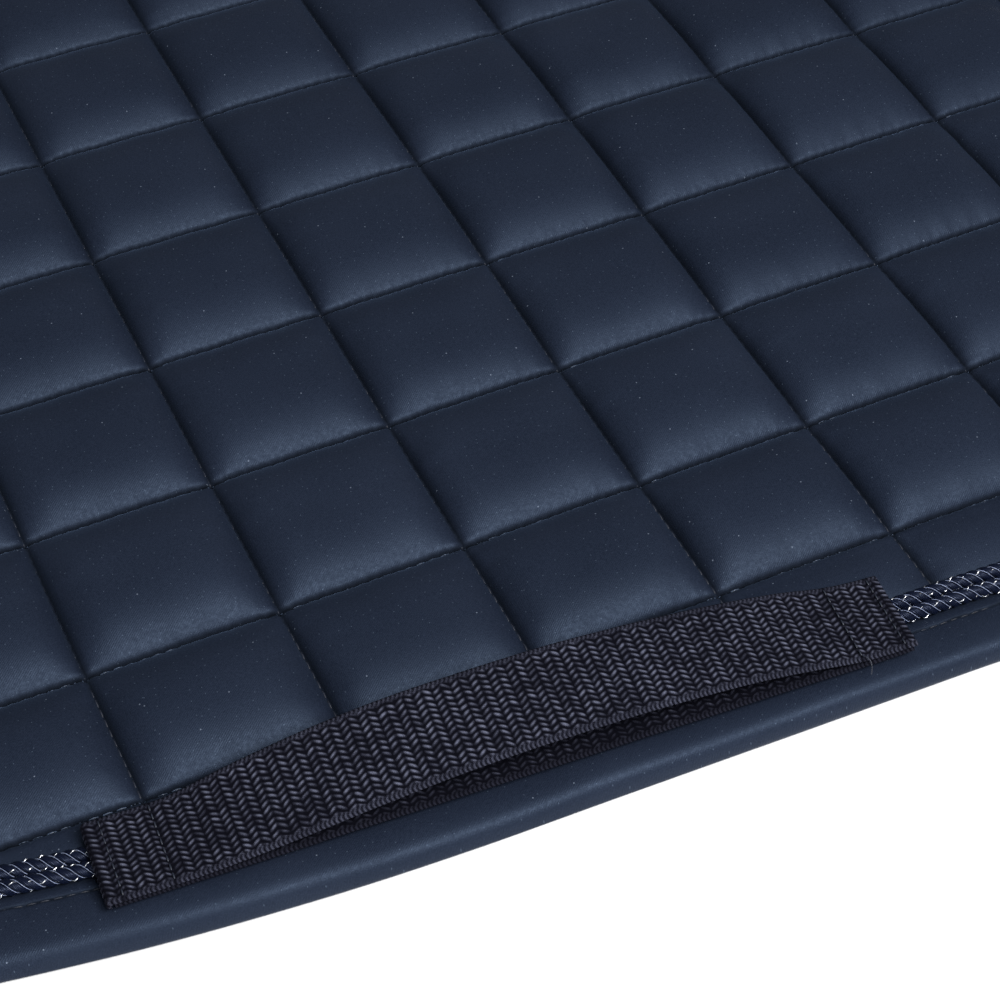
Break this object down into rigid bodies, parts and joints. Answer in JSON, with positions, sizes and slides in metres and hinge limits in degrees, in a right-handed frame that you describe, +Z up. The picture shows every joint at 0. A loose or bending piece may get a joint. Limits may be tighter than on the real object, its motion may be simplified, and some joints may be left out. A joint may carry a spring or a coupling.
{
  "type": "saddle pad",
  "caption": "Quilted two-flap English saddle pad with rolled binding, twin rope trim and a bowed webbing girth loop on each flap, lying open; folds along the spine.",
  "frame": {"origin": "on the floor under the middle of the spine, with the pad lying open and its lining down", "axes": "+X along the spine to the rear, +Y to the right flap, +Z up from the lining to the outer shell"},
  "size_m": [0.6059, 1.0668, 0.0253],
  "materials": {
    "navy_satin": "satin",
    "lining_cloth": "matte",
    "foam": "matte",
    "rope_yarn": "satin",
    "webbing": "woven",
    "touch_fastener": "matte"
  },
  "bodies": {
    "right_flap": {"right_lining": "lining_cloth", "right_foam_filling": "foam", "right_outer_shell": "navy_satin", "right_edge_binding": "navy_satin", "right_rope_cord_outer": "rope_yarn", "right_rope_cord_inner": "rope_yarn", "right_girth_strap_backing": "webbing", "right_girth_strap_top": "webbing", "right_front_strap_sewn_half": "webbing", "right_front_strap_loop_patch": "touch_fastener", "spine_band": "navy_satin", "spine_lining_tape": "lining_cloth"},
    "left_flap": {"left_lining": "lining_cloth", "left_foam_filling": "foam", "left_outer_shell": "navy_satin", "left_edge_binding": "navy_satin", "left_rope_cord_outer": "rope_yarn", "left_rope_cord_inner": "rope_yarn", "left_girth_strap_backing": "webbing", "left_girth_strap_top": "webbing", "left_front_strap_sewn_half": "webbing", "left_front_strap_loop_patch": "touch_fastener"},
    "left_front_strap": {"left_front_strap_free_half": "webbing", "left_front_strap_hook_patch": "touch_fastener"},
    "right_front_strap": {"right_front_strap_free_half": "webbing", "right_front_strap_hook_patch": "touch_fastener"}
  },
  "joints": [
    {"name": "spine_fold", "type": "hinge", "parent": "right_flap", "child": "left_flap", "pos_m": [0, 0, 0.014], "axis": [-1, 0, 0], "range_deg": [0, 175], "deforming": ["spine_band", "spine_lining_tape"]},
    {"name": "left_front_strap_fold", "type": "hinge", "parent": "left_flap", "child": "left_front_strap", "pos_m": [-0.256, -0.12, 0.01375], "axis": [0, -1, 0], "range_deg": [0, 178]},
    {"name": "right_front_strap_fold", "type": "hinge", "parent": "right_flap", "child": "right_front_strap", "pos_m": [-0.256, 0.12, 0.01375], "axis": [0, -1, 0], "range_deg": [0, 178]}
  ]
}
